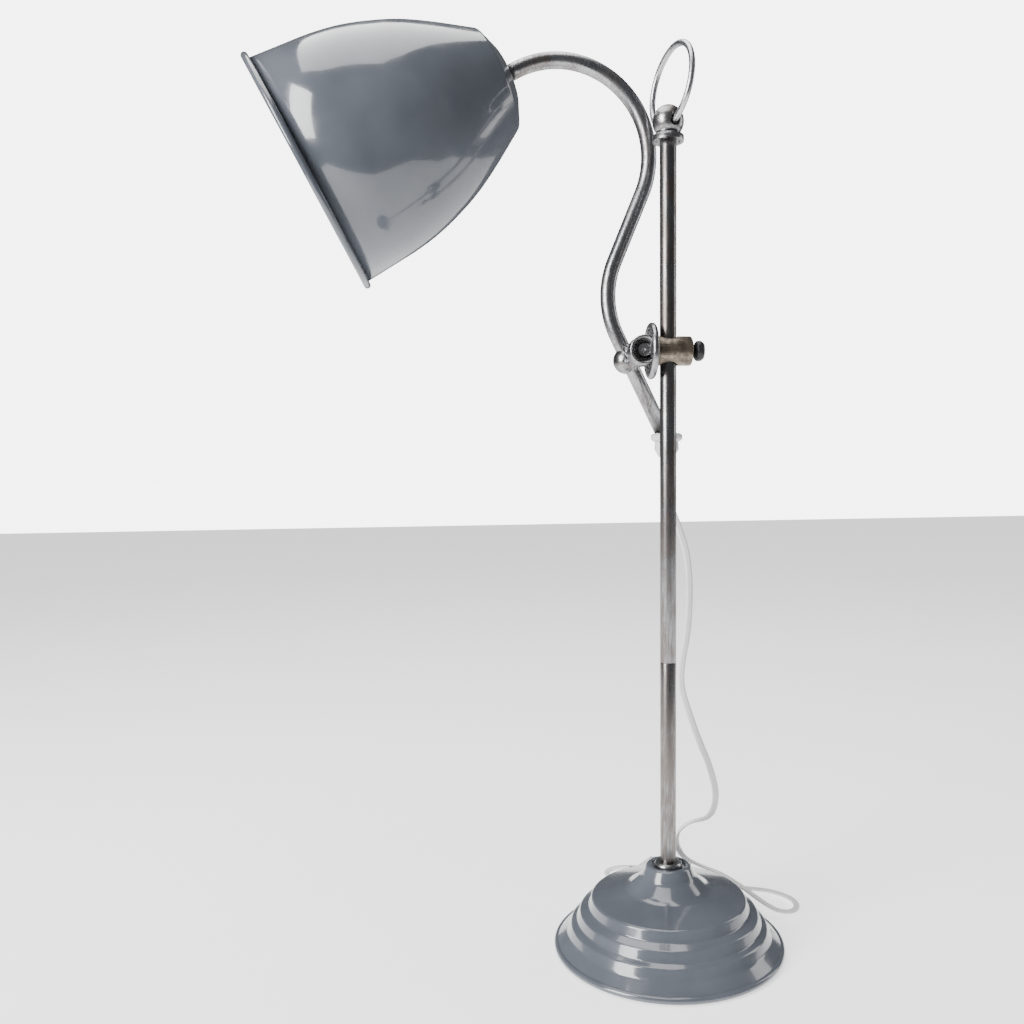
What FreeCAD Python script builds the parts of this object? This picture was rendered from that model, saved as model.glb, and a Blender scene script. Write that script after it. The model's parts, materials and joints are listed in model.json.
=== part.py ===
import FreeCAD, Part
import math
import os
import re

# Desk lamp on a weighted dome: rod, sliding clamp, swan arm and tilting bell shade.
# Millimetres. +Z is up, the rod stands on the origin and the arm hangs over -X.

V = FreeCAD.Vector
doc = FreeCAD.newDocument("desk_lamp")
sheet = doc.addObject("Spreadsheet::Sheet", "sizes")


class Size:
    # A length, with the formula that gives it from the sheet's cells.
    def __init__(self, value, formula):
        self.value = value
        self.formula = formula

    def joined(self, other, sign, value, swapped=False):
        text = other.formula if isinstance(other, Size) else repr(float(other))
        pair = (text, self.formula) if swapped else (self.formula, text)
        return Size(value, "(" + pair[0] + " " + sign + " " + pair[1] + ")")

    def __add__(self, other):
        return self.joined(other, "+", self.value + plain(other))

    def __radd__(self, other):
        return self.joined(other, "+", plain(other) + self.value, True)

    def __sub__(self, other):
        return self.joined(other, "-", self.value - plain(other))

    def __rsub__(self, other):
        return self.joined(other, "-", plain(other) - self.value, True)

    def __mul__(self, other):
        return self.joined(other, "*", self.value * plain(other))

    def __truediv__(self, other):
        return self.joined(other, "/", self.value / plain(other))


def plain(size):
    return size.value if isinstance(size, Size) else float(size)


driving = {
    # base
    "base_r": 88.0,            # outer radius of the rolled rim
    "bead_r": 2.6,             # radius of the rolled rim itself
    "bead_lift": 0.4,          # gap under the rolled rim
    "dome_wall": 1.2,
    "hub_top": 62.2,           # floor of the recess that takes the rod's nut
    "pad_thick": 1.5,
    "plate_thick": 1.2,
    "plate_gap": 0.4,          # plate's edge to the rolled rim
    "weight_r": 57.0,
    "weight_edge": 26.0,       # height of the weight's straight side
    "weight_boss_r": 11.0,
    # rod
    "rod_r": 6.0,
    "rod_bore": 4.0,
    "rod_seam": 221.0,         # where the two lengths of rod meet
    "rod_top": 599.0,
    "stud_play": 0.05,
    "foot_nut_r": 10.6,
    "foot_nut_rise": 4.5,
    # finial
    "collar_r": 11.2,
    "ball_r": 11.2,
    "ball_rise": 9.1,         # ball's centre above the rod's end
    "ring_mean": 27.6,
    "ring_wire": 2.2,
    "ring_play": 0.3,
    # clamp on the rod
    "clamp_height": 449.4,
    "slide_play": 0.05,
    "sleeve_wall": 0.8,
    "stem_short": 0.65,        # the knuckle's stem ends this far from the sleeve
    "sleeve_long": 16.0,
    "block_r": 10.5,
    "block_left": 9.4,         # block's ends either side of the rod's axis
    "block_right": 16.6,
    "screw_r": 2.4,
    "knob_r": 7.8,
    "knob_thick": 7.7,
    "knob_neck": 1.7,
    # lock wheel and knuckle
    "wheel_mean": 17.6,
    "wheel_bead": 2.5,
    "wheel_plane": 12.3,       # bead's plane left of the rod's axis
    "stem_r": 4.0,
    "knuckle_out": 18.75,      # pivot left of the rod's axis
    "knuckle_r": 10.7,
    "knuckle_front": 9.5,
    "knuckle_back": 6.3,
    "pin_r": 3.0,
    # arm
    "arm_behind": 31.0,        # arm's plane behind the rod's axis
    "arm_lean": 25.8,          # degrees, lower straight from the vertical
    "waist_turn": 48.8,
    "waist_bend": 66.0,
    "arch_turn": 140.1,
    "arch_bend": 66.4,
    "arm_tail": 64.8,
    "arm_neck": 19.5,
    "arm_rise": 52.9,
    "arm_reach": 7.4,
    "arm_r": 5.75,
    "arm_wall": 1.15,
    "arm_link": 5.8,           # pivot to the tube's centre line
    "fit_dome_r": 10.0,
    "fit_band_r": 12.0,
    "gland_r": 12.0,
    "gland_thick": 6.0,
    "relief_long": 22.0,
    "flex_wide": 5.2,
    # shade and lampholder, measured along the shade's axis from its mouth
    "shade_r": 85.5,
    "shade_bead": 2.5,
    "shade_long": 162.2,
    "shade_wall": 1.0,
    "nipple_r": 4.55,
    "nipple_wall": 1.2,
    "holder_r": 19.5,
    "holder_wall": 1.5,
    "bulb_r": 30.0,
    "bulb_cap_r": 13.0,
}
size = {}
for row, (word, number) in enumerate(driving.items(), start=1):
    sheet.set("A" + str(row), word)
    sheet.set("B" + str(row), str(number))
    sheet.setAlias("B" + str(row), word)
    size[word] = Size(number, "sizes." + word)
doc.recompute()


def get(word):
    return float(sheet.get(word))


# ---------------------------------------------------------------- helpers

def bind(thing, prop, amount):
    if isinstance(amount, Size):
        thing.setExpression(prop, amount.formula)
    else:
        setattr(thing, prop, amount)


def turned(label, outline, place=None):
    # A body turned about its own Z axis from a closed outline of (radius, height) corners.
    body = doc.addObject("PartDesign::Body", label)
    body.Label = label
    plane = [f for f in body.Origin.OriginFeatures if f.Role == "XZ_Plane"][0]
    sketch = body.newObject("Sketcher::SketchObject", label + "_outline")
    sketch.AttachmentSupport = [(plane, "")]
    sketch.MapMode = "FlatFace"
    spots = [V(plain(r), plain(z), 0) for r, z in outline]
    count = len(spots)
    for i in range(count):
        sketch.addGeometry(Part.LineSegment(spots[i], spots[(i + 1) % count]), False)
    for i in range(count):
        sketch.addConstraint(Constraint("Coincident", i, 2, (i + 1) % count, 1))
    for i, (r, z) in enumerate(outline):
        for kind, amount, axis in (("DistanceX", r, -2), ("DistanceY", z, -1)):
            if abs(plain(amount)) < 1e-9:
                sketch.addConstraint(Constraint("PointOnObject", i, 1, axis))
                continue
            at = sketch.addConstraint(Constraint(kind, -1, 1, i, 1, plain(amount)))
            if isinstance(amount, Size):
                sketch.setExpression("Constraints[" + str(at) + "]", amount.formula)
    spin = body.newObject("PartDesign::Revolution", label + "_turned")
    spin.Profile = sketch
    spin.ReferenceAxis = (sketch, ["V_Axis"])
    spin.Angle = 360
    if place is not None:
        body.Placement = place
    return body


def rod_shape(label, radius, length, at, along):
    # A plain round bar from a point, along a direction.
    bar = doc.addObject("Part::Cylinder", label)
    bar.Label = label
    bind(bar, "Radius", radius)
    bind(bar, "Height", length)
    bar.Placement = FreeCAD.Placement(at, FreeCAD.Rotation(V(0, 0, 1), along))
    return bar


def ball_shape(label, radius, at):
    ball = doc.addObject("Part::Sphere", label)
    ball.Label = label
    bind(ball, "Radius", radius)
    ball.Placement.Base = at
    return ball


def cut(label, base, tools):
    result = doc.addObject("Part::Cut", label)
    result.Label = label
    result.Base = base
    result.Tool = tools[0] if len(tools) == 1 else fuse(label + "_tools", tools)
    return result


def fuse(label, shapes):
    result = doc.addObject("Part::MultiFuse", label)
    result.Label = label
    result.Shapes = shapes
    return result


def hex_nut(label, across, height, bore, place):
    nut = doc.addObject("Part::Prism", label + "_hexagon")
    nut.Polygon = 6
    nut.Circumradius = across / math.sqrt(3)
    nut.Height = height
    hole = rod_shape(label + "_hole", bore, height + 2, V(0, 0, -1), V(0, 0, 1))
    result = cut(label, nut, [hole])
    result.Placement = place
    return result


def feature(label, shape, place=None):
    thing = doc.addObject("Part::Feature", label)
    thing.Label = label
    thing.Shape = shape
    if place is not None:
        thing.Placement = place
    return thing


def rounded(corners, radii=None, report=None):
    # Straight runs joined by tangent arcs. With no radius given, each arc is as large as its runs allow.
    edges = []
    here = corners[0]
    for i in range(1, len(corners) - 1):
        before = corners[i] - corners[i - 1]
        after = corners[i + 1] - corners[i]
        turn = before.getAngle(after)
        half = math.tan(turn / 2)
        radius = 0.45 * min(before.Length, after.Length) / half if radii is None else radii[i]
        if report is not None:
            report.append(radius)
        reach = radius * half
        u = V(before).normalize()
        w = V(after).normalize()
        enter = corners[i] - u * reach
        leave = corners[i] + w * reach
        inward = (w - u).normalize()
        middle = corners[i] + inward * (radius / math.cos(turn / 2) - radius)
        if (enter - here).Length > 1e-6:
            edges.append(Part.LineSegment(here, enter).toShape())
        edges.append(Part.Arc(enter, middle, leave).toShape())
        here = leave
    edges.append(Part.LineSegment(here, corners[-1]).toShape())
    return edges


def inset(outline, wall):
    # The outline of (radius, height, corner radius) moved inwards by the wall, to the left as it runs.
    moved = []
    last = len(outline) - 1
    for i, (r, z, bend) in enumerate(outline):
        here = V(r, z, 0)
        steps = []
        if i > 0:
            steps.append((here - V(outline[i - 1][0], outline[i - 1][1], 0)).normalize())
        if i < last:
            steps.append((V(outline[i + 1][0], outline[i + 1][1], 0) - here).normalize())
        normals = [V(-d.y, d.x, 0) for d in steps]
        if len(normals) == 1:
            shift = normals[0] * wall
        else:
            shift = (normals[0] + normals[1]) * (wall / (1 + normals[0].dot(normals[1])))
            left_turn = steps[0].cross(steps[1]).z > 0
            bend = max(bend + (-wall if left_turn else wall), 0.2)
        moved.append((here.x + shift.x, here.y + shift.y, bend))
    return moved


def spun_shell(outline, wall):
    # An even wall turned about Z: the outline is its outer skin, from the hole to the rim.
    def edges(points):
        return rounded([V(r, 0, z) for r, z, b in points], [b for r, z, b in points])
    outer = edges(outline)
    inner = edges(inset(outline, wall))
    ends = [Part.LineSegment(a.Vertexes[i].Point, b.Vertexes[i].Point).toShape()
            for i, a, b in ((0, outer[0], inner[0]), (-1, outer[-1], inner[-1]))]
    face = Part.Face(Part.Wire(Part.__sortEdges__(outer + inner + ends)))
    return face.revolve(V(0, 0, 0), V(0, 0, 1), 360)


def swept(edges, radius):
    # A round bar along a path.
    path = Part.Wire(edges)
    start = path.OrderedEdges[0]
    along = start.tangentAt(start.FirstParameter)
    ring = Part.Wire(Part.Circle(start.valueAt(start.FirstParameter), along, radius).toShape())
    return path.makePipeShell([ring], True, True)


Constraint = __import__("Sketcher").Constraint
up = V(0, 0, 1)
right = V(1, 0, 0)
back = V(0, 1, 0)
s = size

# ---------------------------------------------------------------- base

pad_top = s["pad_thick"]
bead_mid_r = s["base_r"] - s["bead_r"]
turned("base_pad", [(0, 0), (s["base_r"] - 8, 0), (s["base_r"] - 8, pad_top), (0, pad_top)])

plate_top = pad_top + s["plate_thick"]
plate_r = s["base_r"] - s["bead_r"] * 2 - s["plate_gap"]
turned("base_plate", [(0, pad_top), (plate_r, pad_top), (plate_r, plate_top), (0, plate_top)])

# The dome: recess for the nut, hub, flare, shallow cone, three steps and the flare to the rim.
hub = get("hub_top")
rim = get("base_r") - get("bead_r")
dome_outline = [
    (get("rod_bore") + 0.3, hub, 0),
    (12.6, hub, 0.7),
    (13.4, hub + 2.4, 1.2),
    (16.6, hub + 2.0, 2.4),
    (20.6, hub - 6.5, 9),
    (31.0, hub - 16.0, 15),
    (58.8, hub - 23.0, 2.2),
    (61.0, hub - 30.8, 1.6),
    (67.8, hub - 33.6, 2.2),
    (70.2, hub - 40.8, 1.6),
    (74.6, hub - 43.0, 3.0),
    (77.4, hub - 50.0, 5),
    (rim + 0.6, get("bead_lift") + get("bead_r") + 1.6, 0),
]
dome = spun_shell([(r, z, b) for r, z, b in dome_outline], -get("dome_wall"))
bead = Part.makeTorus(rim, get("bead_r"), V(0, 0, get("bead_lift") + get("bead_r")), up)
feature("base_dome", dome.fuse(bead).removeSplitter())

# The cast weight fills the dome's middle and carries the hub on its boss.
recess = 13.0
sink = 12.0
boss_top = s["hub_top"] - s["dome_wall"]
turned("base_weight", [
    (recess, plate_top), (s["weight_r"], plate_top), (s["weight_r"], s["weight_edge"]),
    (s["weight_r"] - 16, s["weight_edge"] + 8), (s["weight_boss_r"] + 3, s["weight_edge"] + 12),
    (s["weight_boss_r"], boss_top), (s["rod_bore"] + 0.3, boss_top),
    (s["rod_bore"] + 0.3, plate_top + sink), (recess, plate_top + sink)])

# ---------------------------------------------------------------- rod

stud_r = s["rod_bore"] - s["stud_play"]
foot = s["hub_top"] + s["foot_nut_rise"]
washer_thick = 1.6
nut_thick = 6.5
tail_washer = get("pad_thick") + get("plate_thick") + sink - washer_thick
turned("tail_washer", [
    (s["rod_bore"] + 0.2, plate_top + sink - washer_thick), (11, plate_top + sink - washer_thick),
    (11, plate_top + sink), (s["rod_bore"] + 0.2, plate_top + sink)])
hex_nut("tail_nut", 13, nut_thick, s["rod_bore"],
        FreeCAD.Placement(V(0, 0, tail_washer - nut_thick), FreeCAD.Rotation()))
rod_shape("foot_stud", stud_r, s["hub_top"] + 22 - plate_top, V(0, 0, plain(plate_top) + 2), up)
turned("foot_nut", [
    (s["rod_bore"], s["hub_top"]), (s["foot_nut_r"], s["hub_top"]),
    (s["foot_nut_r"], foot - 1.6), (s["foot_nut_r"] - 1.3, foot), (s["rod_bore"], foot)])
turned("rod_lower", [
    (s["rod_bore"], foot), (s["rod_r"], foot), (s["rod_r"], s["rod_seam"] - 0.5),
    (s["rod_r"] - 0.5, s["rod_seam"]), (s["rod_bore"], s["rod_seam"])])
turned("rod_upper", [
    (s["rod_bore"], s["rod_seam"]), (s["rod_r"] - 0.5, s["rod_seam"]), (s["rod_r"], s["rod_seam"] + 0.5),
    (s["rod_r"], s["rod_top"]), (s["rod_bore"], s["rod_top"])])
rod_shape("joint_stud", stud_r, 40, V(0, 0, get("rod_seam") - 20), up)

# ---------------------------------------------------------------- finial

ball_z = s["rod_top"] + s["ball_rise"]
top = s["rod_top"]
finial_turning = turned("finial_turning", [
    (0, top - 14), (stud_r, top - 14), (stud_r, top), (8.2, top), (8.2, top - 4.6),
    (s["collar_r"], top - 4.6), (s["collar_r"], top - 1.0), (s["collar_r"] - 1.4, top + 0.3),
    (8.7, top + 0.9), (8.3, top + 1.7), (0, top + 1.7)])
whole_ball = ball_shape("whole_ball", s["ball_r"], V(0, 0, plain(ball_z)))
# The ball is turned off flat where it stands on the collar.
ball_foot = rod_shape("ball_foot", s["ball_r"] * 2, s["ball_r"], V(0, 0, plain(top) + 1 - get("ball_r")), up)
finial_ball = cut("finial_ball", whole_ball, [ball_foot])
# The ring's eye crosses the ball just below its centre.
eye_turn = math.radians(-72.7)
eye_along = V(math.cos(eye_turn), math.sin(eye_turn), 0)
wire_dip = 1.19                # how far the bent wire strays from the straight eye
eye_z = plain(ball_z) - 1.8
eye_r = s["ring_wire"] + s["ring_play"] + wire_dip
eye_start = V(0, 0, eye_z) - eye_along * (2 * get("ball_r"))
eye = rod_shape("ring_eye", eye_r, s["ball_r"] * 4, eye_start, eye_along)
cut("finial", fuse("finial_blank", [finial_turning, finial_ball]), [eye])

ring_lean = 6.0
ring = doc.addObject("Part::Torus", "finial_ring")
ring.Label = "finial_ring"
bind(ring, "Radius1", s["ring_mean"])
bind(ring, "Radius2", s["ring_wire"])
ring_normal = V(math.cos(eye_turn + math.pi / 2), math.sin(eye_turn + math.pi / 2), 0)
lean = FreeCAD.Rotation(eye_along, -ring_lean)
upright = FreeCAD.Rotation(up, ring_normal)
ring_mid = V(0, 0, get("ring_mean") - wire_dip)
ring.Placement = FreeCAD.Placement(V(0, 0, eye_z) + lean.multVec(ring_mid), lean.multiply(upright))

# ---------------------------------------------------------------- clamp

clamp_z = get("clamp_height")
sleeve_in = s["rod_r"] + s["slide_play"]
sleeve_out = sleeve_in + s["sleeve_wall"]
turned("clamp_sleeve", [
    (sleeve_in, 0), (sleeve_out, 0), (sleeve_out, s["sleeve_long"]), (sleeve_in, s["sleeve_long"])],
    FreeCAD.Placement(V(0, 0, clamp_z - get("sleeve_long") / 2), FreeCAD.Rotation()))

along_x = FreeCAD.Rotation(up, right)
block_long = s["block_left"] + s["block_right"]
block_bar = turned("block_bar", [
    (0, 0), (s["block_r"] - 0.8, 0), (s["block_r"], 0.8), (s["block_r"], block_long - 0.8),
    (s["block_r"] - 0.8, block_long), (0, block_long)],
    FreeCAD.Placement(V(-get("block_left"), 0, clamp_z), along_x))
bore_r = sleeve_out + s["slide_play"]
block_bore = rod_shape("block_bore", bore_r, s["block_r"] * 2 + 4, V(0, 0, clamp_z - get("block_r") - 2), up)
screw_hole = rod_shape("screw_hole", s["screw_r"] + s["slide_play"], s["block_right"] + 2,
                       V(0, 0, clamp_z), right)
stem_hole = rod_shape("stem_hole", s["stem_r"] + s["slide_play"], s["block_left"] + 2,
                      V(0, 0, clamp_z), right * -1)
cut("clamp_block", block_bar, [block_bore, screw_hole, stem_hole])

screw_tip = plain(bore_r) + 0.3
knob_face = get("block_right") + get("knob_neck")
rod_shape("thumbscrew", s["screw_r"], s["block_right"] + s["knob_neck"] + s["knob_thick"] * 0.6 - screw_tip,
          V(screw_tip, 0, clamp_z), right)
kr = s["knob_r"]
kt = s["knob_thick"]
screw_end = kt * 0.6
turned("thumbscrew_knob", [
    (s["screw_r"], 0), (kr - 3.2, 0), (kr - 0.4, 1.9), (kr, 3.0), (kr, kt - 2.2), (kr - 1.2, kt - 0.6),
    (kr - 2.2, kt), (0, kt), (0, screw_end), (s["screw_r"], screw_end)],
    FreeCAD.Placement(V(knob_face, 0, clamp_z), along_x))

# The lock wheel runs on the knuckle's stem, its bead thrown forward round the knuckle.
wheel_x = get("wheel_plane")
wr = s["wheel_mean"]
wb = s["wheel_bead"]
wheel_web = turned("wheel_web", [
    (s["stem_r"] + 0.1, 0), (8, 0), (8, 0.6), (wr - 2.8, 0.6), (wr - 1.2, 1.8), (wr + 0.3, 1.6),
    (wr, 3.6), (wr - 2.0, 3.4), (wr - 4.2, 2.0), (s["stem_r"] + 0.1, 2.0)],
    FreeCAD.Placement(V(-get("block_left") - 0.3, 0, clamp_z), FreeCAD.Rotation(up, right * -1)))
wheel_ring = doc.addObject("Part::Torus", "wheel_ring")
bind(wheel_ring, "Radius1", wr)
bind(wheel_ring, "Radius2", wb)
wheel_ring.Placement = FreeCAD.Placement(V(-wheel_x, 0, clamp_z), along_x)
fuse("lock_wheel", [wheel_web, wheel_ring])

# The knuckle: a round eye with a recessed face, flat towards the wheel, on the stem.
pivot = V(-get("knuckle_out"), 0, clamp_z)
knuckle_deep = s["knuckle_front"] + s["knuckle_back"]
recess_r = s["knuckle_r"] - 2.2
recess_deep = 1.8
along_y = FreeCAD.Rotation(up, back)
knuckle_eye = turned("knuckle_eye", [
    (s["pin_r"] + 0.05, recess_deep), (recess_r, recess_deep), (recess_r, 0), (s["knuckle_r"] - 0.7, 0),
    (s["knuckle_r"], 0.7), (s["knuckle_r"], knuckle_deep - 0.5), (s["knuckle_r"] - 0.5, knuckle_deep),
    (s["pin_r"] + 0.05, knuckle_deep)],
    FreeCAD.Placement(pivot - back * get("knuckle_front"), along_y))
flat_x = get("block_left") + 2.9
flat = doc.addObject("Part::Box", "knuckle_flat")
flat.Length = 40
flat.Width = 60
flat.Height = 60
flat.Placement.Base = V(-flat_x, -30, clamp_z - 30)
stem_end = plain(sleeve_out) + get("stem_short")
stem = rod_shape("knuckle_stem", s["stem_r"], flat_x + 1.5 - stem_end,
                 V(-flat_x - 1.5, 0, clamp_z), right)
pin_way = rod_shape("pin_way", s["pin_r"] + 0.05, 60, pivot - back * 30, back)
cut("knuckle", fuse("knuckle_blank", [cut("knuckle_cut", knuckle_eye, [flat]), stem]), [pin_way])

# ---------------------------------------------------------------- arm fitting

def heading(degrees):
    return V(math.cos(math.radians(degrees)), 0, math.sin(math.radians(degrees)))


arm_y = get("arm_behind")
tube_way = heading(90 + get("arm_lean"))
link_way = heading(180 + get("arm_lean"))
joint_mid = pivot + back * arm_y
crossing = joint_mid + link_way * get("arm_link")
# Turned about the link: neck, two bands with a groove between them, and a domed end.
dr = s["fit_dome_r"]
br = s["fit_band_r"]
fitting_turning = turned("fitting_turning", [
    (0, 0), (6.2, 0), (6.2, s["arm_link"] - 1.6), (br - 0.8, s["arm_link"] - 1.6), (br, s["arm_link"] - 0.8),
    (br, s["arm_link"] + 0.7), (br - 1.2, s["arm_link"] + 1.1), (br - 1.2, s["arm_link"] + 1.5),
    (br, s["arm_link"] + 1.9), (br, s["arm_link"] + 3.7), (br - 0.9, s["arm_link"] + 4.5),
    (0, s["arm_link"] + 4.5)],
    FreeCAD.Placement(crossing - link_way * (get("arm_link") + 3.0), FreeCAD.Rotation(up, link_way)))
fitting_dome = ball_shape("fitting_dome", dr, crossing + link_way * 1.5)
boss_front = get("wheel_mean") + get("wheel_bead") + 0.5
boss_long = s["arm_behind"] + 6 - boss_front
fitting_boss = rod_shape("fitting_boss", 9.5, boss_long, pivot + back * boss_front, back)
tube_hole = rod_shape("tube_hole", s["arm_r"] + 0.03, 60, crossing - tube_way * 30, tube_way)
pin_end = arm_y - get("arm_r") - 1.2
thread_r = s["pin_r"] - 0.5
pin_hole = rod_shape("pin_hole", thread_r, pin_end - boss_front + 1, pivot + back * (boss_front - 1), back)
spot_face = rod_shape("spot_face", s["pin_r"] + 0.8, 8, pivot + back * (boss_front - 8), back)
grub_mid = crossing + link_way * 3.2
grub_way = rod_shape("grub_way", 2.05, 14, grub_mid - back * (get("arm_r") + 13), back)
cut("arm_fitting", fuse("fitting_blank", [fitting_turning, fitting_dome, fitting_boss]),
    [tube_hole, pin_hole, spot_face, grub_way])

# Grub screw in the fitting's dome, with a cut slot.
grub_long = 4.0
grub_at = grub_mid - back * (get("arm_r") + 0.35 + grub_long)
grub_bar = rod_shape("grub_bar", 2.0, grub_long, grub_at, back)
slot = doc.addObject("Part::Box", "grub_slot")
slot.Length = 0.6
slot.Width = 1.0
slot.Height = 8
slot.Placement.Base = grub_at - V(0.3, 0.1, 4)
cut("grub_screw", grub_bar, [slot])

# Shouldered pivot screw: head in the knuckle's recess, thread in the fitting's boss, spacer between.
head_y = -get("knuckle_front") + recess_deep
pivot_len = pin_end - head_y - 0.3
shank = boss_front - head_y
turned("pivot_screw", [
    (0, 0.5), (0.8, 0), (4.6, 0), (4.6, 1.1), (s["pin_r"], 1.1), (s["pin_r"], shank),
    (thread_r, shank), (thread_r, pivot_len), (0, pivot_len)],
    FreeCAD.Placement(pivot + back * (head_y - 1.15), along_y))
spacer_in = s["pin_r"] + 0.05
spacer_slim = s["pin_r"] + 0.45
spacer_long = boss_front - get("knuckle_back") - 0.3
turned("pivot_spacer", [
    (spacer_in, 0), (5.4, 0), (5.4, spacer_long - 7.7), (spacer_slim, spacer_long - 6.7),
    (spacer_slim, spacer_long), (spacer_in, spacer_long)],
    FreeCAD.Placement(pivot + back * (get("knuckle_back") + 0.15), along_y))

# ---------------------------------------------------------------- arm tube

def bend_path(start, degrees, moves):
    # A tube bender's table: runs, and bends as (radius, turn), counter-clockwise seen from the front.
    edges = []
    here = start
    for move in moves:
        if len(move) == 1:
            there = here + heading(degrees) * move[0]
            edges.append(Part.LineSegment(here, there).toShape())
        else:
            radius, turn = move
            side = 90 if turn > 0 else -90
            centre = here + heading(degrees + side) * radius
            middle = centre - heading(degrees + side + turn / 2) * radius
            there = centre - heading(degrees + side + turn) * radius
            edges.append(Part.Arc(here, middle, there).toShape())
            degrees += turn
        here = there
    return edges, here, degrees


tube_foot = crossing - tube_way * get("arm_tail")
bends = [(get("arm_tail") + get("arm_neck"),), (get("waist_bend"), -get("waist_turn")), (get("arm_rise"),),
         (get("arch_bend"), get("arch_turn")), (get("arm_reach"),)]
tube_edges, tube_head, shade_heading = bend_path(tube_foot, 90 + get("arm_lean"), bends)
arm_bore = get("arm_r") - get("arm_wall")
feature("arm_tube", swept(tube_edges, get("arm_r")).cut(swept(tube_edges, arm_bore)))

# ---------------------------------------------------------------- shade

shade_way = heading(shade_heading + 180)
shade_place = FreeCAD.Placement(tube_head - shade_way * get("shade_long"), FreeCAD.Rotation(up, shade_way))
sl = get("shade_long")
sr = get("shade_r") - 2 * get("shade_bead") + 0.6
bead_z = get("shade_bead") - 1.3
shade_outline = [
    (get("nipple_r") + 0.1, sl, 0),
    (18.5, sl - 0.8, 20),
    (35.8, sl - 9.2, 4.5),
    (sr - 28.2, sl - 38.2, None),
    (sr - 17.4, sl - 59.8, None),
    (sr - 7.7, sl - 89.3, None),
    (sr - 3.5, sl - 112.2, None),
    (sr, bead_z, 0),
]


def eased(outline):
    # Fills the open corner radii with the largest that the runs beside them allow.
    filled = []
    for i, (r, z, bend) in enumerate(outline):
        if bend is None:
            here = V(r, z, 0)
            before = here - V(outline[i - 1][0], outline[i - 1][1], 0)
            after = V(outline[i + 1][0], outline[i + 1][1], 0) - here
            bend = 0.45 * min(before.Length, after.Length) / math.tan(before.getAngle(after) / 2)
        filled.append((r, z, bend))
    return filled


shade_wall = spun_shell(eased(shade_outline), -get("shade_wall"))
shade_bead = Part.makeTorus(get("shade_r") - get("shade_bead"), get("shade_bead"),
                            V(0, 0, bead_z), up)
feature("shade_shell", shade_wall.fuse(shade_bead).removeSplitter(), shade_place)

# The nipple joins tube, shade and lampholder; washer and nut clamp the shade to the tube's end.
nr = s["nipple_r"]
cap_under = s["shade_long"] - s["shade_wall"] - 0.75
turned("shade_nipple", [
    (nr - s["nipple_wall"], s["shade_long"] - 22), (nr, s["shade_long"] - 22), (nr, s["shade_long"] + 7),
    (nr - s["nipple_wall"], s["shade_long"] + 7)], shade_place)
turned("shade_washer", [
    (nr + 0.1, cap_under - 1.5), (13, cap_under - 1.5), (13, cap_under), (nr + 0.1, cap_under)], shade_place)
nut_base = plain(cap_under) - 1.5 - 4.0
hex_nut("shade_nut", 17, 4.0, nr + 0.05,
        shade_place.multiply(FreeCAD.Placement(V(0, 0, nut_base), FreeCAD.Rotation())))

# Lampholder: cap, insulating core, screw shell and contact tongue.
hr = s["holder_r"]
hw = s["holder_wall"]
holder_top = s["shade_long"] - s["shade_wall"] - 6.35
cap_low = s["shade_long"] - 34
core_low = s["shade_long"] - 66
holder_cap_blank = turned("holder_cap_blank", [
    (nr + 0.05, holder_top), (10, holder_top), (hr - 1, holder_top - 7.5), (hr, holder_top - 10),
    (hr, cap_low), (hr - hw, cap_low), (hr - hw, holder_top - 10.2), (hr - hw - 1, holder_top - 8.4),
    (9.4, holder_top - hw - 0.3), (nr + 0.05, holder_top - hw - 0.3)], shade_place)
bar_level = plain(cap_low) + 7.0
bar_way = V(0, 1, 0)
bar_half = 26.0
bar_at = shade_place.multVec(V(0, 0, bar_level))
bar_slot = rod_shape("bar_slot", 2.3, bar_half * 2, bar_at - bar_way * bar_half, bar_way)
cut("holder_cap", holder_cap_blank, [bar_slot])
turned("holder_skirt", [
    (hr - hw, cap_low - 0.1), (hr, cap_low - 0.1), (hr, core_low), (hr - hw, core_low)], shade_place)
core_in = s["bulb_cap_r"] + 0.4
core_floor = s["shade_long"] - 42
core_blank = turned("core_blank", [
    (0, core_floor), (core_in, core_floor), (core_in, core_low + 1),
    (hr - hw - 0.1, core_low + 1), (hr - hw - 0.1, cap_low + 11), (0, cap_low + 11)], shade_place)
core_slot = rod_shape("core_slot", 2.3, bar_half * 2, bar_at - bar_way * bar_half, bar_way)
cut("holder_core", core_blank, [core_slot])
rod_shape("switch_bar", 2.0, bar_half * 2, bar_at - bar_way * bar_half, bar_way)
contact_low = s["shade_long"] - 44.5
contact_top = core_floor - 0.05
turned("centre_contact", [
    (0, contact_low), (4, contact_low), (4, contact_top), (0, contact_top)], shade_place)

# Bulb: screw cap with its insulator, and a thin glass envelope.
cap_top = s["shade_long"] - 44.6
glass_neck = s["shade_long"] - 69
cap_out = s["bulb_cap_r"]
cap_in = s["bulb_cap_r"] - 0.8
turned("bulb_cap", [
    (0, cap_top), (4.5, cap_top), (9.5, cap_top - 2.6), (cap_out, cap_top - 4), (cap_out, glass_neck),
    (cap_in, glass_neck), (cap_in, cap_top - 4.6), (0, cap_top - 4.6)], shade_place)
neck_z = plain(glass_neck)
bulb_r = get("bulb_r")
bulb_outline = [
    (get("bulb_cap_r") - 1.2, neck_z + 8, 0),
    (get("bulb_cap_r") - 1.2, neck_z - 6, 10),
    (bulb_r - 0.6, neck_z - 31, 18),
    (bulb_r + 2.6, neck_z - 77.5, 27),
    (0.6, neck_z - 77.5, 0),
]
feature("bulb_glass", spun_shell(bulb_outline, -0.7), shade_place)

# ---------------------------------------------------------------- gland and flex

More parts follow.
